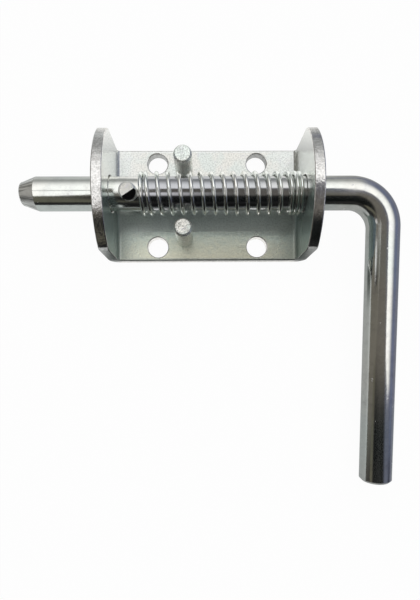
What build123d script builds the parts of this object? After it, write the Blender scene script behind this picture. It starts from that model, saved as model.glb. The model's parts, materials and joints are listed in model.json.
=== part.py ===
"""Spring latch: a bent round bolt that slides through the two ears of a folded bracket.

A compression spring on the bolt pushes a cross pin, and so the bolt, out to the left. The handle
is the bolt's own bent end. Pulled back to the right and turned, the latch stays open, because the
cross pin then stands behind the two posts on the plate.

Millimetres. The origin is the centre of the plate's back face, which is the mounting face.
+X runs along the bolt towards the handle, +Z out of the plate, and the handle points to -Y.
"""

import math
import os

from build123d import *

# Bracket, one folded strip of plate
plate_thickness = 5.0
bracket_length = 104.0
bracket_width = 58.0
bend_inside_radius = 2.0
ear_wall = 12.5
ear_crown = 14.0
ear_corner_radius = 5.0
bracket_edge_chamfer = 0.5

# Mounting holes, one near each corner of the plate
mount_hole_diameter = 10.5
mount_edge_wall = 1.75
mount_ear_distance = 21.0

# Bolt and handle, one bent bar
bolt_diameter = 16.0
bolt_ear_clearance = 0.5
bolt_projection = 38.3
tip_length = 7.8
tip_taper = 2.4
tip_round = 1.2
handle_offset = 34.5
handle_length = 145.0
handle_bend_inside_radius = 9.0
handle_end_chamfer = 1.2

# Spring, round wire with closed coils at both ends
spring_wire = 2.0
spring_bolt_clearance = 0.3
spring_plate_gap = 5.7
spring_seat_gap = 0.3
spring_open_turns = 13.5
spring_left_closed_turns = 1.0
spring_right_closed_turns = 2.5
spring_start_turn = 0.25
spring_closed_gap = 0.05
spring_wire_flats = 8
spring_steps_per_turn = 20

# Cross pin, driven through the bolt, its upper end cropped at a slant
pin_diameter = 8.0
pin_ear_gap = 6.0
pin_plate_clearance = 1.0
pin_lean = 10.0
pin_end_chamfer = 0.7
pin_crop_offset = 0.8
pin_crop_slope = 40.0
pin_crop_turn = -59.0

# Hold-back posts, riveted into the plate on both sides of the bolt
post_diameter = 9.0
post_height = 21.0
post_mount_distance = 14.0
post_catch = 1.9
post_top_chamfer = 0.9
post_shoulder = 1.5
rivet_flare = 1.3
rivet_head_depth = 1.6

# Places that follow from the sizes above
bolt_radius = bolt_diameter / 2
spring_inner_radius = bolt_radius + spring_bolt_clearance
spring_outer_radius = spring_inner_radius + spring_wire
bolt_height = spring_outer_radius + spring_plate_gap
bolt_z = plate_thickness + bolt_height
bolt_axis = Axis((0, 0, bolt_z), (1, 0, 0))

ear_outer_x = bracket_length / 2
ear_inner_x = ear_outer_x - plate_thickness
ear_hole_radius = bolt_radius + bolt_ear_clearance
ear_top_z = bolt_z + ear_hole_radius + ear_wall
ear_side_z = ear_top_z - ear_crown

mount_spacing_x = 2 * (ear_inner_x - mount_ear_distance)
mount_spacing_y = bracket_width - mount_hole_diameter - 2 * mount_edge_wall

pin_radius = pin_diameter / 2
pin_x = -ear_inner_x + pin_ear_gap + pin_radius
pin_reach = bolt_height - pin_plate_clearance

post_radius = post_diameter / 2
post_x = -mount_spacing_x / 2 + post_mount_distance
post_y = pin_reach - post_catch + post_radius
post_top_z = plate_thickness + post_height
rivet_radius = post_radius - post_shoulder
rivet_head_radius = rivet_radius + rivet_flare
rivet_head_angle = 2 * math.degrees(math.atan(rivet_flare / rivet_head_depth))

tip_x = -ear_outer_x - bolt_projection
taper_x = tip_x + tip_length
handle_x = ear_outer_x + handle_offset
handle_bend_radius = handle_bend_inside_radius + bolt_radius

# The handle droops until the underside of its end lies in the plane of the plate's back face
handle_underside_length = handle_length - handle_end_chamfer
handle_droop = math.asin(bolt_z / math.hypot(handle_underside_length, bolt_radius)) - math.atan2(
    bolt_radius, handle_underside_length
)
pin_turn = handle_droop + math.radians(pin_lean)

bolt_plane = Plane(
    origin=(0, 0, bolt_z),
    x_dir=(1, 0, 0),
    z_dir=(0, -math.sin(handle_droop), math.cos(handle_droop)),
)
pin_plane = Plane(
    origin=(pin_x, 0, bolt_z),
    x_dir=(1, 0, 0),
    z_dir=(0, -math.sin(pin_turn), math.cos(pin_turn)),
)
pin_end = pin_plane.offset(pin_reach).location
pin_crop_plane = Plane(
    pin_end * Rot(0, 0, pin_crop_turn) * Pos(pin_crop_offset, 0, 0) * Rot(0, pin_crop_slope, 0)
)
plate_back = Plane(origin=(0, 0, 0), x_dir=(1, 0, 0), z_dir=(0, 0, -1))


# Bracket: a U of even thickness, trimmed to the ears' rounded outline and pierced
with BuildPart() as bracket:
    with BuildSketch(Plane.XZ) as folded_strip:
        with Locations((0, ear_top_z / 2)):
            Rectangle(bracket_length, ear_top_z)
        fillet(folded_strip.vertices().group_by(Axis.Y)[0], bend_inside_radius + plate_thickness)
        with Locations((0, plate_thickness)):
            Rectangle(2 * ear_inner_x, ear_top_z, align=(Align.CENTER, Align.MIN), mode=Mode.SUBTRACT)
        inside_corners = folded_strip.vertices().filter_by_position(
            Axis.Y, plate_thickness, plate_thickness
        ).filter_by_position(Axis.X, -ear_inner_x, ear_inner_x)
        fillet(inside_corners, bend_inside_radius)
    extrude(amount=bracket_width / 2, both=True)

    with BuildSketch(Plane.YZ) as ear_outline:
        with BuildLine():
            side_low, side_high = (bracket_width / 2, 0), (bracket_width / 2, ear_side_z)
            Line(side_low, side_high)
            ThreePointArc(side_high, (0, ear_top_z), (-bracket_width / 2, ear_side_z))
            Polyline((-bracket_width / 2, ear_side_z), (-bracket_width / 2, 0), side_low)
        make_face()
        ear_shoulders = ear_outline.vertices().filter_by_position(Axis.Y, ear_side_z, ear_side_z)
        fillet(ear_shoulders, ear_corner_radius)
    extrude(amount=bracket_length, both=True, mode=Mode.INTERSECT)
    bend_seams = bracket.edges().filter_by(Axis.Y)
    shoulder_seams = bracket.edges().filter_by(Axis.X).filter_by(
        lambda edge: edge.length <= plate_thickness + bracket_edge_chamfer
    )
    chamfer(bracket.edges() - bend_seams - shoulder_seams, bracket_edge_chamfer)

    with BuildSketch(Plane.YZ):
        with Locations((0, bolt_z)):
            Circle(ear_hole_radius)
    extrude(amount=bracket_length, both=True, mode=Mode.SUBTRACT)

    with GridLocations(mount_spacing_x, mount_spacing_y, 2, 2):
        Hole(mount_hole_diameter / 2)
    with Locations(plate_back):
        with Locations((post_x, post_y), (post_x, -post_y)):
            CounterSinkHole(rivet_radius, rivet_head_radius, counter_sink_angle=rivet_head_angle)
bracket.part.label = "bracket"


# Bolt: the bar is swept along its bent centreline, then tapered at the tip and drilled for the pin
with BuildPart() as bolt:
    with BuildLine(bolt_plane) as centreline:
        FilletPolyline(
            (taper_x, 0), (handle_x, 0), (handle_x, -handle_length), radius=handle_bend_radius
        )
    with BuildSketch(Plane(origin=(taper_x, 0, bolt_z), z_dir=(1, 0, 0))):
        Circle(bolt_radius)
    sweep(path=centreline.line)
    handle_end = Axis((0, 0, bolt_z), tuple(-bolt_plane.y_dir))
    chamfer(bolt.edges().filter_by(GeomType.CIRCLE).sort_by(handle_end)[-1], handle_end_chamfer)

    with BuildSketch(bolt_plane):
        with BuildLine():
            Polyline(
                (tip_x, 0),
                (tip_x, bolt_radius - tip_taper),
                (taper_x, bolt_radius),
                (taper_x, 0),
                close=True,
            )
        make_face()
    revolve(axis=bolt_axis)
    fillet(bolt.edges().filter_by(GeomType.CIRCLE).sort_by(Axis.X)[0], tip_round)

    with Locations(pin_plane):
        Hole(pin_radius)
bolt.part.label = "bolt"


# Cross pin: it stands out equally on both sides of the bolt, and its upper end has a slanted crop
with BuildPart() as cross_pin:
    with BuildSketch(pin_plane):
        Circle(pin_radius)
    extrude(amount=pin_reach, both=True)
    chamfer(cross_pin.edges().filter_by(GeomType.CIRCLE), pin_end_chamfer)
    split(bisect_by=pin_crop_plane, keep=Keep.BOTTOM)
cross_pin.part.label = "cross_pin"


# Spring: polygons of the wire's area stand at even steps along the coil, and straight stretches join
# them, which keeps the many turns light. The coil is closed at both ends and open between them.
spring_coil_radius = (spring_inner_radius + spring_outer_radius) / 2
spring_wire_area = math.pi * spring_wire**2 / 4
spring_section_radius = math.sqrt(
    2 * spring_wire_area / (spring_wire_flats * math.sin(2 * math.pi / spring_wire_flats))
)
spring_closed_pitch = spring_wire + spring_closed_gap
spring_seat_x = pin_x + pin_radius + spring_seat_gap + spring_wire / 2
spring_start_x = spring_seat_x - spring_start_turn * spring_closed_pitch
spring_end_x = ear_inner_x - spring_seat_gap - spring_wire / 2
spring_closed_turns = spring_left_closed_turns + spring_right_closed_turns
spring_open_length = spring_end_x - spring_start_x - spring_closed_turns * spring_closed_pitch
spring_open_pitch = spring_open_length / spring_open_turns
spring_turns = spring_open_turns + spring_closed_turns
spring_steps = round(spring_turns * spring_steps_per_turn)


def spring_x(turn):
    """Where along the bolt the wire's centre is after so many turns."""
    open_turns = min(max(turn - spring_left_closed_turns, 0), spring_open_turns)
    closed_turns = turn - open_turns
    return spring_start_x + closed_turns * spring_closed_pitch + open_turns * spring_open_pitch


with BuildPart() as spring:
    for step in range(spring_steps + 1):
        turn = spring_turns * step / spring_steps
        angle = 2 * math.pi * (turn - spring_start_turn)
        out_y, out_z = -math.sin(angle), math.cos(angle)
        wire_section = Plane(
            origin=(spring_x(turn), spring_coil_radius * out_y, bolt_z + spring_coil_radius * out_z),
            x_dir=(1, 0, 0),
            z_dir=(0, -out_z, out_y),
        )
        with BuildSketch(wire_section):
            RegularPolygon(spring_section_radius, spring_wire_flats, rotation=180 / spring_wire_flats)
    loft(ruled=True)
spring.part.label = "spring"


def hold_back_post(y):
    """A turned post whose thin foot goes through the plate and is spread flush at the back."""
    with BuildPart() as post:
        with BuildSketch(Plane.XZ.offset(-y)):
            with BuildLine():
                Polyline(
                    (post_x, 0),
                    (post_x + rivet_head_radius, 0),
                    (post_x + rivet_radius, rivet_head_depth),
                    (post_x + rivet_radius, plate_thickness),
                    (post_x + post_radius, plate_thickness),
                    (post_x + post_radius, post_top_z - post_top_chamfer),
                    (post_x + post_radius - post_top_chamfer, post_top_z),
                    (post_x, post_top_z),
                    close=True,
                )
            make_face()
        revolve(axis=Axis((post_x, y, 0), (0, 0, 1)))
    return post.part


os.makedirs("parts", exist_ok=True)
for piece in (bracket, bolt, cross_pin, spring):
    export_step(piece.part, f"parts/{piece.part.label}.step")
for label, y in (("upper_hold_back_post", post_y), ("lower_hold_back_post", -post_y)):
    post = hold_back_post(y)
    post.label = label
    export_step(post, f"parts/{label}.step")

print(f"bolt axis z {bolt_z:.2f}, ear top z {ear_top_z:.2f}")
print(f"handle droop {math.degrees(handle_droop):.2f} deg")
print(f"mounting holes {mount_spacing_x:.2f} x {mount_spacing_y:.2f}, posts at {post_x:.2f}, {post_y:.2f}")
print(f"cross pin at {pin_x:.2f}, reach {pin_reach:.2f}, spring pitch {spring_open_pitch:.3f}")
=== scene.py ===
# %% [markdown]
# # A spring latch, finished in Blender
#
# The latch is a bent round bolt that slides through the ears of a folded steel bracket. A spring on
# the bolt pushes it out, and two posts on the plate hold the bolt back when it is pulled and turned.
# Every piece already exists as a plain solid at its real size. This lesson makes each piece again as
# a smooth mesh, gives it bright zinc plating, and sets up a white table to look at it on.

# %% Load the frame
import json
import math
from collections import namedtuple

import bmesh
import bpy
from mathutils import Euler, Matrix, Vector


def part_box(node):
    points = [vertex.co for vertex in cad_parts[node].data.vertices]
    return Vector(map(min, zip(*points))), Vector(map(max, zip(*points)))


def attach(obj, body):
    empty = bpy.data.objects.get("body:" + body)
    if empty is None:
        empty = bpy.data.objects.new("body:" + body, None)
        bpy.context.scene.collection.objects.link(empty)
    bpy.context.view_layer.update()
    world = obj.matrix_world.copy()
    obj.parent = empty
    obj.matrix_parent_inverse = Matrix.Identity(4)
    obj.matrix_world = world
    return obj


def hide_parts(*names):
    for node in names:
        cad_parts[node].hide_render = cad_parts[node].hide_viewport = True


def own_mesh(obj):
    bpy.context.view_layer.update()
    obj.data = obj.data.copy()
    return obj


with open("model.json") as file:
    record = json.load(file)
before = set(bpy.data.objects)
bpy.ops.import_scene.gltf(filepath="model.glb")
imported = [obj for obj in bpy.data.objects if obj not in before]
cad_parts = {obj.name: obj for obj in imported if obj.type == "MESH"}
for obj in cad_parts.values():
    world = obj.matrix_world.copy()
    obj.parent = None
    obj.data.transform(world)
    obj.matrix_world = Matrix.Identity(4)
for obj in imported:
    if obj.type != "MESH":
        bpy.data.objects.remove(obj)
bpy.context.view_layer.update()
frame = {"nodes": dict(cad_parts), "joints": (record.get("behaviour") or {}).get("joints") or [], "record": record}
MM = 0.001
print("solids:", sorted(frame["nodes"]))

# %% [markdown]
# ## Sizes
#
# The solids say where everything is, so most sizes are read from their boxes, from the joints and from
# the mounts. The few that no box can tell, such as the plate's thickness, are written here once.
# Blender works in metres, and `MM` keeps the numbers readable.

# %% Read the sizes from the frame
mounts = {mount["name"]: mount for mount in frame["record"]["mounts"]}
joints = {joint["name"]: joint for joint in frame["joints"]}

_, bracket_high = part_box("bracket")
bolt_low, bolt_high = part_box("bolt")
pin_low, pin_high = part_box("cross_pin")
spring_low, spring_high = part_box("spring")
posts = {side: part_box(f"{side}_hold_back_post") for side in ("upper", "lower")}

bolt_z = joints["handle_turn"]["pos_m"][2]
bar_radius = mounts["bolt_end"]["dims"]["r_mm"] * MM
tip_length = 7.8 * MM
plate_thickness = 5 * MM
ear_inner = bracket_high.x - plate_thickness
rivet_shoulder = 1.5 * MM
rivet_flare = 1.3 * MM
rivet_head_depth = 1.6 * MM
post_radius = (posts["upper"][1].x - posts["upper"][0].x) / 2
rivet_radius = post_radius - rivet_shoulder
print(f"bracket {2000 * bracket_high.x:.1f} mm over the ears, bar {2000 * bar_radius:.1f} mm across")

# %% [markdown]
# ## A short way to write nodes
#
# Geometry and materials are both made with nodes here, and both need arithmetic. Writing one Math node
# after another hides the formula, so a `Value` wraps a socket and lets Python's own operators add those
# nodes. The reflected forms make a number on the left work too, as in `1 - mask`.

# %% A value that does arithmetic
class Value:
    """A socket of a node tree. Arithmetic on it adds Math nodes."""

    def __init__(self, tree, socket):
        self.tree = tree
        self.socket = socket

    def math(self, operation, *others):
        sockets = dict(enumerate((self, *others)))
        return self.tree.node("ShaderNodeMath", {"operation": operation}, sockets)

    def __add__(self, other):
        return self.math("ADD", other)

    def __mul__(self, other):
        return self.math("MULTIPLY", other)

    def __sub__(self, other):
        return self.math("SUBTRACT", other)

    def __rsub__(self, other):
        return (self * -1) + other

    def __truediv__(self, other):
        return self.math("DIVIDE", other)

    def __rtruediv__(self, other):
        return self.math("POWER", -1) * other

    __radd__ = __add__
    __rmul__ = __mul__


print("reflected forms:", [name for name in vars(Value) if name.startswith("__r")])

# %% [markdown]
# Everything else comes from `Tree.node`, which takes a node's type, its settings and its sockets. A few
# more methods give what comes back in every finish: a mix of colours, a soft step, a noise and a stretch.

# %% A tree that adds nodes
class Tree:
    """A node tree that is built from expressions."""

    def __init__(self, node_tree):
        self.nodes = node_tree.nodes
        self.links = node_tree.links

    def node(self, kind, settings=None, sockets=None, out=0):
        """Adds a node and gives one of its outputs."""
        made = self.nodes.new(kind)
        for name, setting in (settings or {}).items():
            setattr(made, name, setting)
        for key, value in (sockets or {}).items():
            if isinstance(value, Value):
                self.links.new(value.socket, made.inputs[key])
            else:
                made.inputs[key].default_value = value
        return Value(self, made.outputs[out]) if made.outputs else made

    def mix(self, share, first, second):
        """A colour between first and second."""
        return self.node("ShaderNodeMix", {"data_type": "RGBA"}, {0: share, 6: first, 7: second}, out=2)

    def smooth_step(self, value, low, high):
        """0 below low, 1 above high and a soft slope between them."""
        settings = {"interpolation_type": "SMOOTHSTEP"}
        return self.node("ShaderNodeMapRange", settings, {0: value, 1: low, 2: high, 3: 0.0, 4: 1.0})

    def between(self, value, rise, fall):
        """1 between two soft slopes, each given by its low and its high end."""
        return self.smooth_step(value, *rise) * (1 - self.smooth_step(value, *fall))

    def noise(self, place, scale, detail=3.0, rough=0.5):
        return self.node("ShaderNodeTexNoise", None,
                         {"Vector": place, "Scale": scale, "Detail": detail, "Roughness": rough})

    def stretch(self, place, factors):
        """A place whose axes are scaled, which draws a pattern out into streaks."""
        return self.node("ShaderNodeMapping", None, {"Vector": place, "Scale": factors})

    def split_axes(self, vector):
        """The three axes of a vector as values."""
        split = self.node("ShaderNodeSeparateXYZ", None, {0: vector})
        return [Value(self, socket) for socket in split.socket.node.outputs]


print("patterns:", [name for name in vars(Tree) if not name.startswith("_")])

# %% [markdown]
# ## Zinc plating
#
# All pieces are steel with bright zinc plating, but each was made another way: the sheet was rolled, the
# bar was drawn, the wire is almost polished and the posts were turned. One function makes the metal from
# noises of several sizes. Zinc is passivated in a bath that leaves a faint film, so the grey drifts a
# little towards green, straw and violet, and dark flecks show where the crystals are coarse.
#
# What making and use left behind goes on top, as a list of marks, and so do a few patches of painted
# light and shade. Each mark has its share of the surface, a colour, a gloss and how metallic it is.

# %% What a finish is made of
Streaks = namedtuple("Streaks", "stretch scale depth sheen place_of", defaults=[None])
Mark = namedtuple("Mark", "share colour gloss bright")


def empty_material(name):
    """A material without nodes, and its tree."""
    material = bpy.data.materials.new(name)
    material.use_nodes = True
    tree = Tree(material.node_tree)
    tree.nodes.clear()
    return material, tree


def tinted(grey, red, green, blue):
    """A grey with a little more or less of each colour."""
    return (grey * red, grey * green, grey * blue, 1)


def object_place(tree):
    """The place on the object itself, in metres."""
    return tree.node("ShaderNodeTexCoord", out="Object")


print("a mark has", Mark._fields, "and streaks have", Streaks._fields)

# %% [markdown]
# The spring's wire has no marks at all, so its finish comes first: almost polished, with a faint film.

# %% The plated metal and the spring's wire
def unmarked(tree, place):
    return []


def plated_metal(name, place_of, grey, film, gloss, streaks, cloud_scale, grain, scuff,
                 mottled=0.1, bright=1.0, marks=unmarked):
    """Zinc plating, set by a few strengths.

    grey is its colour, film the strength of its tints and gloss its lowest roughness. streaks are the
    lines that drawing, rolling or turning left. cloud_scale sets the size of every patch, grain the depth
    of the fine bumps, scuff the share that handling has dulled and mottled the strength of the dark
    flecks. bright is less than 1 on plating that is a little chalky and scatters part of the light.
    """
    material, tree = empty_material(name)
    place = place_of(tree)
    line_place = streaks.place_of(tree) if streaks.place_of else place

    # Patterns from the largest patches to the finest specks, and then the lines
    drift = tree.noise(place, cloud_scale * 0.37, 2.0)
    cloud = tree.noise(place, cloud_scale, 4.0, 0.55)
    scuffs = tree.noise(place, cloud_scale * 3.1, 5.0, 0.65)
    mottle = tree.noise(place, cloud_scale * 4, 3.0, 0.6)
    speckle = tree.noise(place, cloud_scale * 14, 3.0, 0.7)
    lines = tree.noise(tree.stretch(line_place, streaks.stretch), streaks.scale, 5.0, 0.65)
    scuffed = tree.smooth_step(scuffs, 0.72 - scuff, 0.78 - scuff * 0.6)
    flecks = tree.smooth_step(mottle, 0.42, 0.66)

    green = tinted(grey, 0.86, 0.99, 0.90)
    straw = tinted(grey, 1.03, 1.00, 0.87)
    violet = tinted(grey, 0.94, 0.93, 1.04)
    tint = tree.mix(tree.smooth_step(drift, 0.38, 0.62), green, straw)
    tint = tree.mix(tree.smooth_step(cloud, 0.55, 0.8), tint, violet)
    colour = tree.mix(film, tinted(grey, 1, 1, 0.985), tint)
    colour = tree.mix(scuffed * 0.5, colour, tinted(grey, 0.80, 0.80, 0.78))
    roughness = gloss + cloud * 0.09 + (lines - 0.5) * streaks.sheen + scuffed * 0.16
    roughness = roughness + (speckle - 0.5) * 0.06
    metallic = bright

    for mark in marks(tree, place):
        colour = tree.mix(mark.share, colour, mark.colour)
        roughness = roughness + mark.share * (mark.gloss - roughness)
        metallic = metallic + mark.share * (mark.bright - metallic)
    colour = tree.mix(flecks * mottled, colour, tinted(grey, 0.30, 0.32, 0.31))

    height = lines * streaks.depth + (speckle * 0.3 + mottle + cloud * 2) * grain
    bump = tree.node("ShaderNodeBump", None, {"Strength": 0.35, "Distance": 0.2 * MM, "Height": height})
    surface = tree.node("ShaderNodeBsdfPrincipled", None, {
        "Base Color": colour, "Metallic": metallic, "Roughness": roughness, "Normal": bump})
    tree.node("ShaderNodeOutputMaterial", None, {"Surface": surface})
    print("finish:", name)
    return material


wire_zinc = plated_metal(
    "spring_wire_zinc", object_place, grey=0.95, film=0.30, gloss=0.08,
    streaks=Streaks(stretch=(1, 1, 1), scale=900, depth=0.12, sheen=0.05),
    cloud_scale=90, grain=0.10, scuff=0.02)

# %% [markdown]
# ## The drawn bar
#
# The bar came through a die, which left long fine lines, and these have to follow it round its bend. So
# this finish doesn't read the object's own place but one that is stored on the mesh: how far along the
# bar, and where round it. The same place tells where the bar under the spring is darkened with painted
# shade of the coils, most of all near the pin, and made a little duller, and where the tip was ground.
# Hands left faint patches and a few nicks.

# %% The bar's finish
def attribute_place(name):
    """A place that was stored on the mesh, for patterns that follow a bent or folded surface."""
    def place(tree):
        return tree.node("ShaderNodeAttribute", {"attribute_name": name}, out="Vector")
    return place


def bar_marks(tree, place):
    """Patches and nicks from handling, painted shade under the spring, and the ground tip."""
    along, _, _ = tree.split_axes(place)
    start = spring_low.x - bolt_low.x
    end = spring_high.x - bolt_low.x
    under_spring = tree.between(along, (start, start + 3 * MM), (end, end + 3 * MM))
    # Painted shade: under the spring the bar is darker, most of all near the pin, for the shade of the coils
    painted_spring_shade = under_spring * (0.9 - tree.smooth_step(along, (start + end) / 2, end) * 0.4)
    on_tip = 1 - tree.smooth_step(along, tip_length - 0.2 * MM, tip_length + 0.2 * MM)
    grinding = tree.smooth_step(tree.noise(tree.stretch(place, (0.1, 1, 1)), 900, 4.0), 0.4, 0.6)
    ground = tree.mix(grinding, (0.50, 0.50, 0.48, 1), (0.98, 0.98, 0.95, 1))
    handled = tree.smooth_step(tree.noise(place, 130, 6.0, 0.75), 0.50, 0.70)
    nicks = tree.smooth_step(tree.noise(place, 420, 2.0, 0.5), 0.735, 0.76)
    return [
        Mark(handled * 0.45, (0.58, 0.57, 0.55, 1), gloss=0.22, bright=1.0),
        Mark(nicks * 0.8, (0.95, 0.95, 0.94, 1), gloss=0.55, bright=0.6),
        Mark(painted_spring_shade, (0.46, 0.47, 0.50, 1), gloss=0.14, bright=1.0),
        Mark(on_tip, ground, gloss=0.30, bright=0.75),
    ]


bar_zinc = plated_metal(
    "drawn_bar_zinc", attribute_place("bar_place"), grey=0.84, film=0.35, gloss=0.09,
    streaks=Streaks(stretch=(0.04, 1, 1), scale=700, depth=0.2, sheen=0.09),
    cloud_scale=60, grain=0.12, scuff=0.05, marks=bar_marks)

# %% [markdown]
# ## The rolled sheet
#
# The sheet's plating tells how the bracket was made. In the bath the film ran to the handle's side, where
# it is teal, and it dried to a straw colour along that edge. Close to the bar the teal is painted lighter,
# as painted light under the bar's shade. The upper halves of the ears stayed bright.
# Folding crazed the plating in the bends, and punching left smooth, slightly worn rims. The first three
# are formulas of the place on the flat blank with a ragged border. Bends and rims can't be told from a
# place, so the mesh will store a share for each of them.

# %% The sheet's finish
def stored_share(tree, name):
    """A share that was stored on the mesh."""
    return tree.node("ShaderNodeAttribute", {"attribute_name": name}, out="Fac")


def sheet_marks(tree, place):
    """The run of the film with painted light near the bar, its straw edge, the bright upper ears, the crazed bends
    and the rims.
    """
    along, across, _ = tree.split_axes(place)
    ragged = (tree.noise(place, 420, 6.0, 0.75) - 0.5) * 24 * MM
    on_ear = tree.smooth_step(along.math("ABSOLUTE"), ear_inner - 2 * MM, ear_inner + 5 * MM)
    run = tree.smooth_step(ragged * 0.5 - across, -2 * MM, 6 * MM)
    edge = tree.smooth_step(ragged - across, 10 * MM, 30 * MM) * (1 - on_ear)
    # Painted light: the teal is lighter close to the bar, lifting the shade that the bar casts on the plate
    painted_light_near_bar = tree.smooth_step(across + ragged * 0.2, -17 * MM, -9 * MM)
    teal = tree.mix(painted_light_near_bar, (0.58, 0.71, 0.64, 1), (0.88, 0.98, 0.95, 1))
    teal = tree.mix(on_ear, teal, (0.27, 0.39, 0.365, 1))
    crazed = tree.mix(run, (0.92, 0.94, 0.92, 1), (0.45, 0.51, 0.49, 1))
    rim_wear = tree.smooth_step(tree.noise(place, 480, 6.0, 0.75), 0.40, 0.72)
    rim = tree.mix(rim_wear, (0.88, 0.87, 0.85, 1), (0.60, 0.58, 0.56, 1))
    return [
        Mark(run * 0.8, teal, gloss=0.22, bright=0.58),
        Mark(edge * 0.85, (0.90, 0.87, 0.67, 1), gloss=0.26, bright=0.50),
        Mark(on_ear * (1 - run) * 0.9, (0.96, 0.97, 0.94, 1), gloss=0.10, bright=1.0),
        Mark(stored_share(tree, "bent") * 0.6, crazed, gloss=0.36, bright=0.80),
        Mark(stored_share(tree, "cut_edge"), rim, gloss=0.13, bright=1.0),
    ]


sheet_zinc = plated_metal(
    "rolled_sheet_zinc", attribute_place("blank_place"), grey=0.74, film=0.40, gloss=0.13,
    streaks=Streaks(stretch=(0.10, 1, 1), scale=900, depth=0.4, sheen=0.10),
    cloud_scale=300, grain=0.6, scuff=0.10, mottled=0.30, bright=0.88, marks=sheet_marks)

# %% [markdown]
# ## The turned posts and the cropped pin
#
# A lathe tool leaves rings: round the wall of a post and in circles on its top. A place made of radius and
# height gives both with one noise. The pin was cropped with a shear, which left a slanted face, and the
# mesh stores which face that is. That face is painted near black, a painted dark reflection.

# %% The finish of the posts and of the pin
def pin_painted_reflection(tree, place):
    """The cropped face is painted near black, a painted dark reflection."""
    return [Mark(stored_share(tree, "cropped"), (0.05, 0.05, 0.05, 1), gloss=0.30, bright=1.0)]


turned_zinc = plated_metal(
    "turned_post_zinc", object_place, grey=0.88, film=0.5, gloss=0.08,
    streaks=Streaks(stretch=(1, 1, 1), scale=1100, depth=4.0, sheen=0.12,
                    place_of=attribute_place("lathe_place")),
    cloud_scale=330, grain=1.0, scuff=0.16, mottled=0.45, bright=0.80)
pin_zinc = plated_metal(
    "cross_pin_zinc", object_place, grey=0.86, film=0.4, gloss=0.24,
    streaks=Streaks(stretch=(0.3, 1, 1), scale=1500, depth=0.35, sheen=0.10),
    cloud_scale=300, grain=0.6, scuff=0.08, bright=0.6, marks=pin_painted_reflection)

# %% [markdown]
# ## The bracket
#
# The real bracket starts as a flat blank that is punched and then folded, and the same order works here.
# In a bend the middle of the sheet keeps its length, which tells how long the flat blank has to be and
# where on it a hole lies that will later stand in an ear.

# %% The outline of the blank
bend_inside = 2 * MM
bend_outside = bend_inside + plate_thickness
bend_middle = bend_inside + plate_thickness / 2
bend_length = bend_middle * math.pi / 2
bend_start = bracket_high.x - bend_outside
ear_crown = 14 * MM
ear_corner_radius = 5 * MM
arc_step = math.radians(4)


def arc(centre, radius, start, end):
    """Points of an arc in the blank's plane, from one angle to the other."""
    steps = max(2, math.ceil(abs(end - start) / arc_step))
    angles = [start + (end - start) * i / steps for i in range(steps + 1)]
    return [(centre[0] + radius * math.cos(a), centre[1] + radius * math.sin(a)) for a in angles]


def along_blank(height):
    """How far from the blank's middle a point lies that will stand this high on a folded ear."""
    return bend_start + bend_length + height - bend_outside


def ear_end(side):
    """The ear's outline on one end of the blank: two round shoulders and a crowned top."""
    half = bracket_high.y
    crown_radius = (half**2 + ear_crown**2) / (2 * ear_crown)
    crown_centre = along_blank(bracket_high.z) - crown_radius
    reach = crown_radius - ear_corner_radius
    shoulder_y = half - ear_corner_radius
    shoulder_x = crown_centre + math.sqrt(reach**2 - shoulder_y**2)
    turn = math.atan2(shoulder_y, shoulder_x - crown_centre)
    points = arc((shoulder_x, -shoulder_y), ear_corner_radius, -math.pi / 2, -turn)
    points += arc((crown_centre, 0), crown_radius, -turn, turn)[1:-1]
    points += arc((shoulder_x, shoulder_y), ear_corner_radius, turn, math.pi / 2)
    return [(side * x, side * y) for x, y in points]


blank_outline = ear_end(1) + ear_end(-1)
print(f"blank {2 * along_blank(bracket_high.z) / MM:.1f} mm long, {len(blank_outline)} points")

# %% [markdown]
# A flat curve with holes in it gets its thickness and rounded edges from the curve's own extrude and
# bevel, which is simpler than cutting holes into a folded mesh.

# %% Punch the blank
bolt_play = 0.5 * MM
edge_round = 0.5 * MM


def add_outline(curve, points):
    spline = curve.splines.new("POLY")
    spline.points.add(len(points) - 1)
    for point, (x, y) in zip(spline.points, points):
        point.co = (x, y, 0, 1)
    spline.use_cyclic_u = True


def add_hole(curve, centre, radius):
    add_outline(curve, arc(centre, radius, 0, 2 * math.pi)[:-1])


pattern = mounts["mounting_holes"]["dims"]
blank = bpy.data.curves.new("bracket_blank", "CURVE")
blank.dimensions = "2D"
blank.fill_mode = "BOTH"
blank.extrude = plate_thickness / 2 - edge_round
blank.bevel_depth = edge_round
blank.offset = -edge_round
blank.bevel_resolution = 2
add_outline(blank, blank_outline)
for side in (-1, 1):
    add_hole(blank, (side * along_blank(bolt_z), 0), bar_radius + bolt_play)
    for row in (-1, 1):
        centre = (side * pattern["spacing_x_mm"] * MM / 2, row * pattern["spacing_y_mm"] * MM / 2)
        add_hole(blank, centre, pattern["hole_r_mm"] * MM)
for low, high in posts.values():
    add_hole(blank, (low + high) / 2, rivet_radius)
print("blank with", len(blank.splines) - 1, "holes")

# %% [markdown]
# ## Folding
#
# Cuts across the two bend zones give them something to bend with, and one formula folds the ears up. Each
# point first notes its place on the flat blank, so that the rolling lines go round the bends too, and
# whether it lies in a bend. The rivet holes are opened out towards the back for the posts' feet.

# %% Cut the bend zones
bend_cuts = 12
tolerance = 1e-6


def mesh_of(source, name):
    """The evaluated object as a plain mesh."""
    evaluated = source.evaluated_get(bpy.context.evaluated_depsgraph_get())
    mesh = bpy.data.meshes.new_from_object(evaluated)
    mesh.name = name
    return mesh


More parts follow.
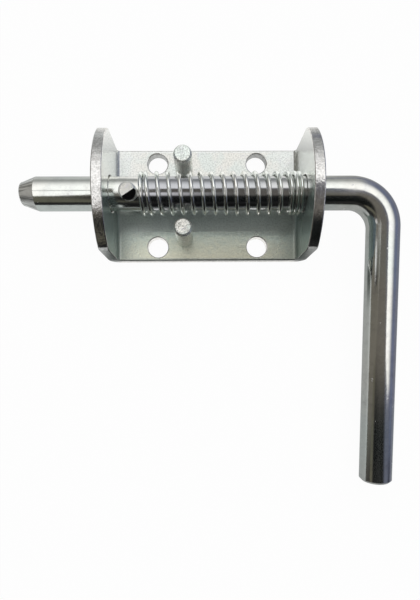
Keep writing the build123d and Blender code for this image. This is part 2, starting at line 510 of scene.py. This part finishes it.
def countersink(sheet, axis):
    """Widens a rivet hole towards the plate's back, where the post's foot is spread."""
    rim = rivet_radius + 1.5 * edge_round
    wall = [v for v in sheet.verts if (v.co.xy - axis.xy).length < rim]
    faces = [f for f in {f for v in wall for f in v.link_faces} if all(v in wall for v in f.verts)]
    geometry = wall + faces + list({e for f in faces for e in f.edges})
    bmesh.ops.bisect_plane(sheet, geom=geometry, plane_co=(0, 0, rivet_head_depth), plane_no=(0, 0, 1))
    for vertex in sheet.verts:
        out = vertex.co.xy - axis.xy
        if out.length < rim and vertex.co.z < rivet_head_depth + tolerance:
            wide = rivet_radius + rivet_flare * (1 - vertex.co.z / rivet_head_depth)
            vertex.co.xy = axis.xy + out.normalized() * wide


blank_object = bpy.data.objects.new("bracket_blank", blank)
bpy.context.scene.collection.objects.link(blank_object)
bracket_mesh = mesh_of(blank_object, "folded_bracket")
bpy.data.objects.remove(blank_object)

sheet = bmesh.new()
sheet.from_mesh(bracket_mesh)
bmesh.ops.remove_doubles(sheet, verts=sheet.verts, dist=tolerance)
bmesh.ops.translate(sheet, verts=sheet.verts, vec=(0, 0, plate_thickness / 2))
for side in (-1, 1):
    for cut in range(bend_cuts + 1):
        x = side * (bend_start + bend_length * cut / bend_cuts)
        everything = sheet.verts[:] + sheet.edges[:] + sheet.faces[:]
        bmesh.ops.bisect_plane(sheet, geom=everything, plane_co=(x, 0, 0), plane_no=(1, 0, 0))
for low, high in posts.values():
    countersink(sheet, (low + high) / 2)
print("flat sheet:", len(sheet.faces), "faces")


# %% Fold the ears up
def face_kind(face):
    """1 for a flat side of the blank, 0 for a wall and 0.5 for the rounded edge between them."""
    tilt = abs(face.normal.z)
    return round(tilt) if tilt < 0.001 or tilt > 0.999 else 0.5


def folded(place):
    """Where a point of the flat blank goes: flat plate, round bend, upright ear."""
    side = 1 if place.x >= 0 else -1
    past = abs(place.x) - bend_start
    if past <= 0:
        return place.copy()
    angle = min(past, bend_length) / bend_middle
    radius = bend_outside - place.z
    x = bend_start + radius * math.sin(angle)
    z = bend_outside - radius * math.cos(angle) + max(past - bend_length, 0)
    return Vector((side * x, place.y, z))


sheet.normal_update()
for edge in sheet.edges:
    edge.smooth = len({face_kind(face) for face in edge.link_faces}) == 1
cut_layer = sheet.faces.layers.float.new("cut_edge")
for face in sheet.faces:
    face[cut_layer] = face_kind(face) < 1
    face.smooth = True
bent_layer = sheet.verts.layers.float.new("bent")
place_layer = sheet.verts.layers.float_vector.new("blank_place")
for vertex in sheet.verts:
    past_start = abs(vertex.co.x) - bend_start
    vertex[bent_layer] = -tolerance < past_start < bend_length + tolerance
    vertex[place_layer] = vertex.co
    vertex.co = folded(vertex.co)
bmesh.ops.recalc_face_normals(sheet, faces=sheet.faces)
sheet.to_mesh(bracket_mesh)
sheet.free()
print(f"ears {max(vertex.co.z for vertex in bracket_mesh.vertices) / MM:.1f} mm high")

# %% [markdown]
# Every piece ends in the same way. It becomes an object with its finish, it moves with its body, and the
# solid that it stands for is hidden.

# %% A finished piece
def add_piece(name, mesh, material, body, replaced):
    """A finished piece: it has its finish, moves with its body and stands for its solid."""
    piece = bpy.data.objects.new(name, mesh)
    bpy.context.scene.collection.objects.link(piece)
    mesh.materials.clear()
    mesh.materials.append(material)
    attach(piece, body)
    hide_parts(replaced)
    print(name, len(mesh.polygons), "faces")
    return piece


add_piece("folded_bracket", bracket_mesh, sheet_zinc, "bracket", "bracket")

# %% [markdown]
# ## The bolt and its handle
#
# The bolt is one round bar with a bent end. A handful of points along its middle line is enough, and each
# carries the bar's radius there, which makes the tapered tip and the chamfered end. Extra points close to
# an edge keep it crisp.

# %% Points along the bar
tip_taper = 2.4 * MM
tip_round = 1.2 * MM
tip_round_steps = 5
handle_length = 145 * MM
handle_end_chamfer = 1.2 * MM
handle_bend_inside = 9 * MM
bend_radius = handle_bend_inside + bar_radius
edge_support = 0.25 * MM
tip_radius = bar_radius - tip_taper
taper_x = bolt_low.x + tip_length
corner = Vector((bolt_high.x - bar_radius, 0, bolt_z))

# The handle's end rests on the table, which sets how far the handle droops
underside = handle_length - handle_end_chamfer
handle_droop = math.asin(bolt_z / math.hypot(underside, bar_radius)) - math.atan2(bar_radius, underside)
handle_way = Vector((0, -math.cos(handle_droop), -math.sin(handle_droop)))

route = []
for i in range(tip_round_steps + 1):
    turn = math.pi / 2 * i / tip_round_steps
    x = bolt_low.x + tip_round * (1 - math.cos(turn))
    route.append((Vector((x, 0, bolt_z)), tip_radius - tip_round * (1 - math.sin(turn))))
for x, radius in (
    (taper_x - edge_support, bar_radius - tip_taper * edge_support / tip_length),
    (taper_x, bar_radius),
    (taper_x + edge_support, bar_radius),
):
    route.append((Vector((x, 0, bolt_z)), radius))
corner_index = len(route)
route.append((corner, bar_radius))
for back, radius in (
    (handle_end_chamfer + edge_support, bar_radius),
    (handle_end_chamfer, bar_radius),
    (0, bar_radius - handle_end_chamfer),
):
    route.append((corner + handle_way * (handle_length - back), radius))

route_mesh = bpy.data.meshes.new("bar_route")
route_mesh.from_pydata([place for place, _ in route], [(i, i + 1) for i in range(len(route) - 1)], [])
radius_layer = route_mesh.attributes.new("bar_radius", "FLOAT", "POINT")
corner_layer = route_mesh.attributes.new("bar_corner", "FLOAT", "POINT")
for i, (_, radius) in enumerate(route):
    radius_layer.data[i].value = radius
    corner_layer.data[i].value = i == corner_index
print(f"handle droops {math.degrees(handle_droop):.2f} degrees over {handle_length / MM:.0f} mm")

# %% [markdown]
# ## Sweeping the bar
#
# Geometry Nodes round the corner with Fillet Curve and sweep a circle along the line. They also store how
# far along and how far round each point lies, so that the drawing lines follow the bar round its bend.
# A tree gets its sizes through named inputs, and it ends with Realize Instances and Set Material. The
# result is then kept as a plain mesh, without its modifier.

# %% Trees with named inputs
def geometry_tree(name, inputs):
    """An empty Geometry Nodes tree with named inputs, and the values of those inputs inside it."""
    group = bpy.data.node_groups.new(name, "GeometryNodeTree")
    group.interface.new_socket("Geometry", in_out="INPUT", socket_type="NodeSocketGeometry")
    group.interface.new_socket("Geometry", in_out="OUTPUT", socket_type="NodeSocketGeometry")
    for label, kind in inputs.items():
        group.interface.new_socket(label, in_out="INPUT", socket_type=f"NodeSocket{kind}")
    tree = Tree(group)
    entry = group.nodes.new("NodeGroupInput")
    return group, tree, {socket.name: Value(tree, socket) for socket in entry.outputs if socket.name}


def read_attribute(tree, name, kind="FLOAT"):
    return tree.node("GeometryNodeInputNamedAttribute", {"data_type": kind}, {"Name": name})


def store_attribute(tree, geometry, name, value, kind="FLOAT"):
    """The same geometry, with a value stored on each of its points."""
    return tree.node("GeometryNodeStoreNamedAttribute", {"data_type": kind, "domain": "POINT"}, {
        "Geometry": geometry, "Name": name, "Value": value})


def close_tree(tree, geometry, material):
    """The tree's last nodes: real geometry instead of instances, smooth, with its finish."""
    smooth = tree.node("GeometryNodeSetShadeSmooth", None, {"Geometry": geometry})
    real = tree.node("GeometryNodeRealizeInstances", None, {"Geometry": smooth})
    painted = tree.node("GeometryNodeSetMaterial", None, {"Geometry": real, "Material": material})
    tree.node("NodeGroupOutput", None, {"Geometry": painted})


def grow(name, mesh, group, settings):
    """Runs a tree on a mesh and returns the result as a plain mesh."""
    seed = bpy.data.objects.new(name, mesh)
    bpy.context.scene.collection.objects.link(seed)
    modifier = seed.modifiers.new(name, "NODES")
    modifier.node_group = group
    for item in group.interface.items_tree:
        if item.in_out == "INPUT" and item.name in settings:
            modifier[item.identifier] = settings[item.name]
    grown = mesh_of(seed, name)
    seed.modifiers.remove(modifier)
    bpy.data.objects.remove(seed)
    return grown


bar_group, tree, given = geometry_tree("swept_bar", {
    "Bend Radius": "Float", "Bend Steps": "Int", "Sides": "Int", "Material": "Material"})
print("inputs of the bar's tree:", list(given))

# %% Sweep the bar
bar_line = tree.node("GeometryNodeMeshToCurve", None, {"Mesh": given["Geometry"]})
corner_here = read_attribute(tree, "bar_corner")
bar_line = tree.node("GeometryNodeFilletCurve", {"mode": "POLY"}, {
    "Curve": bar_line, "Radius": given["Bend Radius"] * corner_here,
    "Count": corner_here * (given["Bend Steps"] - 1) + 1})
length_along = tree.node("GeometryNodeSplineParameter", out="Length")
bar_line = store_attribute(tree, bar_line, "bar_along", length_along)
ring = tree.node("GeometryNodeCurvePrimitiveCircle", None, {"Resolution": given["Sides"], "Radius": 1.0})
ring_place = tree.node("GeometryNodeInputPosition")
ring = store_attribute(tree, ring, "bar_round", ring_place, "FLOAT_VECTOR")
swept = tree.node("GeometryNodeCurveToMesh", None, {
    "Curve": bar_line, "Profile Curve": ring, "Scale": read_attribute(tree, "bar_radius"),
    "Fill Caps": True})
sides = tree.node("ShaderNodeVectorMath", {"operation": "SCALE"}, {
    0: read_attribute(tree, "bar_round", "FLOAT_VECTOR"), "Scale": bar_radius})
across, over, _ = tree.split_axes(sides)
bar_place = tree.node("ShaderNodeCombineXYZ", None, {
    0: read_attribute(tree, "bar_along"), 1: across, 2: over})
swept = store_attribute(tree, swept, "bar_place", bar_place, "FLOAT_VECTOR")
close_tree(tree, swept, given["Material"])

bolt_mesh = grow("bent_bolt", route_mesh, bar_group, {
    "Bend Radius": bend_radius, "Bend Steps": 32, "Sides": 96, "Material": bar_zinc})
bolt_mesh.set_sharp_from_angle(angle=math.radians(40))
add_piece("bent_bolt", bolt_mesh, bar_zinc, "bolt", "bolt")

# %% [markdown]
# ## The spring
#
# A spring is a formula: a point goes round the bolt and moves along it at the same time, slowly in the
# closed end coils and faster in the open ones. Geometry Nodes place a line's points by that formula, and a
# small circle is swept along them. The wire starts a quarter turn early, so that its closed coil touches
# the pin in the middle and not with its cut end.

# %% Sizes of the spring
wire_radius = 1 * MM
coil_play = 0.3 * MM
coil_radius = bar_radius + coil_play + wire_radius
left_closed_turns = 1.0
open_turns = 13.5
right_closed_turns = 2.5
start_turn = 0.25
closed_pitch = 2.05 * MM
pin_radius = 4 * MM
seat_gap = 0.3 * MM
steps_per_turn = 40.0
pin_x = (pin_low.x + pin_high.x) / 2
wire_start = pin_x + pin_radius + seat_gap + wire_radius - start_turn * closed_pitch
wire_end = ear_inner - seat_gap - wire_radius
closed_turns = left_closed_turns + right_closed_turns
open_pitch = (wire_end - wire_start - closed_turns * closed_pitch) / open_turns
print(f"{closed_turns + open_turns:.1f} turns, open ones {open_pitch / MM:.2f} mm apart")

# %% Wind the spring
coil_group, tree, given = geometry_tree("wound_coil", {
    "Coil Radius": "Float", "Wire Radius": "Float", "Start": "Float", "Height": "Float",
    "Start Turn": "Float", "Left Closed Turns": "Float", "Open Turns": "Float",
    "Right Closed Turns": "Float", "Closed Pitch": "Float", "Open Pitch": "Float",
    "Steps Per Turn": "Float", "Sides": "Int", "Material": "Material"})
open_end = given["Left Closed Turns"] + given["Open Turns"]
steps = (open_end + given["Right Closed Turns"]) * given["Steps Per Turn"]
dots = tree.node("GeometryNodeMeshLine", None, {"Count": steps + 1})
turn = tree.node("GeometryNodeInputIndex") / given["Steps Per Turn"]
closed = turn.math("MINIMUM", given["Left Closed Turns"]) + (turn - open_end).math("MAXIMUM", 0.0)
x = given["Start"] + closed * given["Closed Pitch"] + (turn - closed) * given["Open Pitch"]
angle = (turn - given["Start Turn"]) * (2 * math.pi)
y = angle.math("SINE") * given["Coil Radius"] * -1
z = angle.math("COSINE") * given["Coil Radius"] + given["Height"]
coil_place = tree.node("ShaderNodeCombineXYZ", None, {0: x, 1: y, 2: z})
dots = tree.node("GeometryNodeSetPosition", None, {"Geometry": dots, "Position": coil_place})
wire_line = tree.node("GeometryNodeMeshToCurve", None, {"Mesh": dots})
section = tree.node("GeometryNodeCurvePrimitiveCircle", None, {
    "Resolution": given["Sides"], "Radius": given["Wire Radius"]})
wire = tree.node("GeometryNodeCurveToMesh", None, {
    "Curve": wire_line, "Profile Curve": section, "Fill Caps": True})
close_tree(tree, wire, given["Material"])

spring_mesh = grow("coil_spring", bpy.data.meshes.new("coil_seed"), coil_group, {
    "Coil Radius": coil_radius, "Wire Radius": wire_radius, "Start": wire_start, "Height": bolt_z,
    "Start Turn": start_turn, "Left Closed Turns": left_closed_turns, "Open Turns": open_turns,
    "Right Closed Turns": right_closed_turns, "Closed Pitch": closed_pitch, "Open Pitch": open_pitch,
    "Steps Per Turn": steps_per_turn, "Sides": 16, "Material": wire_zinc})
spring_mesh.set_sharp_from_angle(angle=math.radians(50))
spring = add_piece("coil_spring", spring_mesh, wire_zinc, "spring", "spring")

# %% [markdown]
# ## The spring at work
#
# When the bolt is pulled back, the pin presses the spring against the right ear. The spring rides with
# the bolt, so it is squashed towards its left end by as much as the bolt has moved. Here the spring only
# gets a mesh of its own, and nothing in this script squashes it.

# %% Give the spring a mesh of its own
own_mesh(spring)

# %% [markdown]
# ## The cross pin and the posts
#
# These are turned pieces, so their shape is a profile spun round an axis. A lathe function takes the
# profile as radius and height pairs and closes it at both ends. The edges are broken by small chamfers,
# and `set_sharp_from_angle` keeps those crisp while the round walls shade smoothly.

# %% A small lathe
lathe_sides = 64


def lathe(name, profile, placement, crop=None):
    """A solid of revolution from (radius, height) pairs, placed by a matrix.

    crop is a point and a direction: what lies beyond that plane is cut off.
    """
    spun = bmesh.new()
    cropped_layer = spun.faces.layers.float.new("cropped")
    place_layer = spun.verts.layers.float_vector.new("lathe_place")
    angles = [2 * math.pi * i / lathe_sides for i in range(lathe_sides)]
    rings = []
    for radius, height in profile:
        spots = [(radius * math.cos(a), radius * math.sin(a), height) for a in angles]
        rings.append([spun.verts.new(spot) for spot in (spots if radius else spots[:1])])
    for vertex in spun.verts:
        vertex[place_layer] = (vertex.co.xy.length, 0, vertex.co.z)
    for low, high in zip(rings, rings[1:]):
        for i in range(lathe_sides):
            j = (i + 1) % lathe_sides
            corners = [low[i % len(low)], low[j % len(low)], high[j % len(high)], high[i % len(high)]]
            spun.faces.new(list(dict.fromkeys(corners)))
    if crop:
        everything = spun.verts[:] + spun.edges[:] + spun.faces[:]
        cut = bmesh.ops.bisect_plane(
            spun, geom=everything, plane_co=crop[0], plane_no=crop[1], clear_outer=True)
        border = [item for item in cut["geom_cut"] if isinstance(item, bmesh.types.BMEdge)]
        for face in bmesh.ops.edgeloop_fill(spun, edges=border)["faces"]:
            face[cropped_layer] = 1.0
    for face in spun.faces:
        face.smooth = True
    bmesh.ops.transform(spun, matrix=placement, verts=spun.verts)
    bmesh.ops.recalc_face_normals(spun, faces=spun.faces)
    mesh = bpy.data.meshes.new(name)
    spun.to_mesh(mesh)
    spun.free()
    mesh.set_sharp_from_angle(angle=math.radians(30))
    return mesh


print("lathe with", lathe_sides, "sides")

# %% [markdown]
# The pin goes right through the bolt and leans a little away from square to the handle. Its upper end was
# cropped with a shear, which left a slanted face on one side. One cutting plane gives that face.

# %% The pin through the bolt
pin_lean = math.radians(10)
pin_turn = handle_droop + pin_lean
pin_plate_gap = 1 * MM
pin_reach = bolt_z - plate_thickness - pin_plate_gap
pin_chamfer = 0.7 * MM
pin_profile = [
    (0, -pin_reach),
    (pin_radius - pin_chamfer, -pin_reach),
    (pin_radius, -pin_reach + pin_chamfer),
    (pin_radius, pin_reach - pin_chamfer),
    (pin_radius - pin_chamfer, pin_reach),
    (0, pin_reach),
]
pin_place = Matrix.Translation((pin_x, 0, bolt_z)) @ Matrix.Rotation(pin_turn, 4, "X")

crop_offset = 0.8 * MM
crop_slope = math.radians(40)
crop_turn = math.radians(-59)
crop_side = Vector((math.cos(crop_turn), math.sin(crop_turn), 0))
crop_point = crop_side * crop_offset + Vector((0, 0, pin_reach))
crop_way = crop_side * math.sin(crop_slope) + Vector((0, 0, math.cos(crop_slope)))
pin_mesh = lathe("cross_pin_turned", pin_profile, pin_place, (crop_point, crop_way))
add_piece("cross_pin_turned", pin_mesh, pin_zinc, "bolt", "cross_pin")

# %% [markdown]
# Each post stands on a shoulder. Its thinner neck goes through the plate, and its foot is spread into the
# countersink at the back, like a rivet.

# %% The hold-back posts
post_chamfer = 0.9 * MM
for side, (low, high) in posts.items():
    post_profile = [
        (0, 0),
        (rivet_radius + rivet_flare, 0),
        (rivet_radius, rivet_head_depth),
        (rivet_radius, plate_thickness),
        (post_radius, plate_thickness),
        (post_radius, high.z - post_chamfer),
        (post_radius - post_chamfer, high.z),
        (0, high.z),
    ]
    foot = Matrix.Translation(((low.x + high.x) / 2, (low.y + high.y) / 2, 0))
    name = f"{side}_post_turned"
    post_mesh = lathe(name, post_profile, foot)
    add_piece(name, post_mesh, turned_zinc, "bracket", f"{side}_hold_back_post")

# %% [markdown]
# ## The white table
#
# Shiny metal shows its surroundings more than its own colour. In the studio the latch lies on a white
# table, so bright that the photograph shows almost pure white. In the metal the same table looks grey, and
# not everywhere alike: it is bright behind the latch and through the holes, and dim in front and to the
# right. One material does both, by asking whether a ray comes from the camera or from a reflection.

# %% How reflections see the table
WARM_WHITE = (1.0, 1.0, 0.98, 1)
table_white, tree = empty_material("table_white")
right, back, _ = tree.split_axes(object_place(tree))
aside = right.math("ABSOLUTE")
behind = tree.smooth_step(back, 20 * MM, 50 * MM) * (1 - tree.smooth_step(aside, 50 * MM, 80 * MM))
under = tree.between(back, (-31 * MM, -29 * MM), (-5 * MM, 0))
under = under * (1 - tree.smooth_step(aside, 45 * MM, 50 * MM))
near = tree.between(back, (-60 * MM, -35 * MM), (-31 * MM, -29 * MM))
near = near * (1 - tree.smooth_step(aside, 50 * MM, 60 * MM))
far = 1 - tree.smooth_step(back, -250 * MM, -160 * MM)
by_handle = tree.smooth_step(right, 80 * MM, 140 * MM)
to_right = tree.smooth_step(right, -80 * MM, 60 * MM)
sheen = tree.mix(to_right, (0.52, 0.54, 0.54, 1), (0.36, 0.37, 0.37, 1))
table_zones = [
    (by_handle, (0.18, 0.19, 0.25, 1)),
    (behind, WARM_WHITE),
    (under, WARM_WHITE),
    (near, (0.08, 0.09, 0.085, 1)),
    (far, (0.02, 0.02, 0.02, 1)),
]
for share, colour in table_zones:
    sheen = tree.mix(share, sheen, colour)
print("table with", len(table_zones), "zones")

# %% The table
WHITE = (1, 1, 1, 1)
table_size = 3.0
shadow_share = 0.04
bpy.ops.mesh.primitive_plane_add(size=table_size, location=(0, 0, 0))
table = bpy.context.object
table.name = "white_table"
paper = tree.node("ShaderNodeBsdfDiffuse", None, {"Color": (0.9, 0.9, 0.9, 1)})
glow = tree.node("ShaderNodeEmission", None, {"Color": WHITE})
seen = tree.node("ShaderNodeMixShader", None, {0: 1 - shadow_share, 1: paper, 2: glow})
mirrored = tree.node("ShaderNodeEmission", None, {"Color": sheen})
glossy_ray = tree.node("ShaderNodeLightPath", out="Is Glossy Ray")
camera_ray = tree.node("ShaderNodeLightPath", out="Is Camera Ray")
surface = tree.node("ShaderNodeMixShader", None, {0: glossy_ray, 1: paper, 2: mirrored})
surface = tree.node("ShaderNodeMixShader", None, {0: camera_ray, 1: surface, 2: seen})
tree.node("ShaderNodeOutputMaterial", None, {"Surface": surface})
table.data.materials.append(table_white)
print(f"table {table_size:.1f} m wide")

# %% [markdown]
# ## The room
#
# The light is bright and even from above, and the walls are dim: bluish to the right, brownish to the left
# and nearly black in front, where the photographer stands. A world that is coloured by direction says all
# that without a single lamp. The camera itself sees plain white.

# %% The bright room
world = bpy.data.worlds.new("bright_room")
bpy.context.scene.world = world
world.use_nodes = True
tree = Tree(world.node_tree)
tree.nodes.clear()
right, back, up = tree.split_axes(tree.node("ShaderNodeTexCoord", out="Generated"))
right_wall = tree.smooth_step(right, 0.3, 0.7) * (1 - tree.smooth_step(up, 0.3, 0.7))
left_wall = tree.smooth_step(right * -1, 0.35, 0.6) * (1 - tree.smooth_step(up, 0.76, 0.88))
front_wall = tree.smooth_step(back * -1, 0.2, 0.45) * (1 - tree.smooth_step(up, 0.5, 0.7))
room = tree.mix(tree.smooth_step(up, 0.2, 0.9), (0.36, 0.37, 0.37, 1), (1.2, 1.2, 1.2, 1))
walls = [
    (right_wall, (0.15, 0.17, 0.26, 1)),
    (left_wall, (0.16, 0.15, 0.13, 1)),
    (front_wall, (0.02, 0.02, 0.02, 1)),
]
for share, colour in walls:
    room = tree.mix(share, room, colour)
light = tree.node("ShaderNodeBackground", None, {"Color": room, "Strength": 1.0})
backdrop = tree.node("ShaderNodeBackground", None, {"Color": WHITE, "Strength": 1.0})
camera_ray = tree.node("ShaderNodeLightPath", out="Is Camera Ray")
shown = tree.node("ShaderNodeMixShader", None, {0: camera_ray, 1: light, 2: backdrop})
tree.node("ShaderNodeOutputWorld", None, {"Surface": shown})
print("room with", len(walls), "dim walls")

# %% [markdown]
# ## Cards
#
# The bands in a polished bar are pictures of what is round it, with sharp borders that a world can't give.
# Photographers shape them with cards, and so does this scene. The camera doesn't see the cards, and they
# cast no shadow. Two of them have one plain colour: a strip overhead stands for the gap between two lamps
# and draws the thin line in the bar's white band, and a black flag stands upright in front of the plate.

# %% Two plain cards
card_height = 250
lamp_gap_outline = [(-230, 2), (-100, 2), (-100, 18), (-230, 18)]
flag_y = -33
flag_outline = [(-46, 10), (46, 10), (46, 26), (-46, 26)]


def add_card(name, corners):
    """A flat card that only reflections see, with its corners in millimetres, and its material's tree."""
    mesh = bpy.data.meshes.new(name)
    mesh.from_pydata([Vector(corner) * MM for corner in corners], [], [range(len(corners))])
    card = bpy.data.objects.new(name, mesh)
    bpy.context.scene.collection.objects.link(card)
    material, tree = empty_material(name)
    mesh.materials.append(material)
    card.visible_camera = False
    card.visible_diffuse = False
    card.visible_shadow = False
    print(name, "with", len(corners), "corners")
    return tree


def set_glow(tree, colour):
    """Lets a card's material glow in a colour."""
    glow = tree.node("ShaderNodeEmission", None, {"Color": colour})
    tree.node("ShaderNodeOutputMaterial", None, {"Surface": glow})


set_glow(add_card("lamp_gap", [(x, y, card_height) for x, y in lamp_gap_outline]), (0.42, 0.43, 0.43, 1))
set_glow(add_card("black_flag", [(x, flag_y, z) for x, z in flag_outline]), (0.01, 0.01, 0.01, 1))

# %% [markdown]
# A large card overhead stands for the dark half of the room. Its outline sets where the bands of the bar,
# the bend and the handle begin and end. It is brown above the latch, black in front of it, bluish to the
# right and lighter along its back edge.

# %% The dim side of the room
dim_side_outline = [
    (-165, -149), (-100, -84), (-50, 50), (50, 70), (135, 46), (165, -50), (185, -125),
    (300, -175), (900, -250), (900, -900), (-600, -900), (-270, -155),
]
tree = add_card("dim_side", [(x, y, card_height) for x, y in dim_side_outline])
right, back, _ = tree.split_axes(object_place(tree))
to_right = tree.smooth_step(right, -200 * MM, -100 * MM)
in_front = tree.smooth_step(back * -1, 110 * MM, 200 * MM) * to_right
beyond_handle = tree.smooth_step(right + back * 0.6, 50 * MM, 180 * MM)
back_edge = tree.smooth_step(back, 40 * MM, 65 * MM)
dim = tree.mix(to_right, (0.115, 0.11, 0.085, 1), (0.13, 0.12, 0.105, 1))
dim = tree.mix(in_front, dim, (0.004, 0.005, 0.005, 1))
dim = tree.mix(beyond_handle, dim, (0.12, 0.13, 0.18, 1))
dim = tree.mix(back_edge, dim, (0.5, 0.5, 0.51, 1))
set_glow(tree, dim)

# %% [markdown]
# A small bright card low over the spring lights the bar between the first coils. It fades to the right and
# to the front, so that no other piece catches it.

# %% The low lamp
low_lamp_height = 80
low_lamp_outline = [(-48, -45), (20, -45), (20, -13), (-48, -13)]
tree = add_card("low_lamp", [(x, y, low_lamp_height) for x, y in low_lamp_outline])
right, back, _ = tree.split_axes(object_place(tree))
to_right = tree.smooth_step(right, -45 * MM, 20 * MM)
to_front = tree.smooth_step(back * -1, 25 * MM, 45 * MM)
lamp = tree.mix(to_right, (1.1, 1.08, 1.1, 1), (0.14, 0.13, 0.115, 1))
lamp = tree.mix(to_front, lamp, (0.01, 0.01, 0.01, 1))
set_glow(tree, lamp)

# %% [markdown]
# ## The camera
#
# The photograph was taken from above, a little in front of the latch and to its left. The camera's place,
# tilt and lens were found by matching the edges of the solids to those in the photograph, whose frame is
# 420 by 600 pixels. The latch isn't in the middle of that frame, and the lens shift moves the frame over it.

# %% Place the camera
camera_data = bpy.data.cameras.new("camera")
camera_data.sensor_width = 36
camera_data.lens = 25.03
camera_data.shift_x = 0.0087
camera_data.shift_y = 0.0882
camera_data.clip_start = 10 * MM
camera = bpy.data.objects.new("camera", camera_data)
camera.location = (-3.41 * MM, -78.75 * MM, 224.77 * MM)
camera.rotation_euler = Euler((0.0043, -0.0075, -0.0061), "XYZ")
bpy.context.scene.collection.objects.link(camera)
bpy.context.scene.camera = camera
bpy.context.scene.view_settings.view_transform = "Standard"
print(f"camera {camera.location.z / MM:.0f} mm above the table, lens {camera_data.lens:.1f} mm")

# %% [markdown]
# ## Measuring
# The finished pieces should fill the same box as the solids.
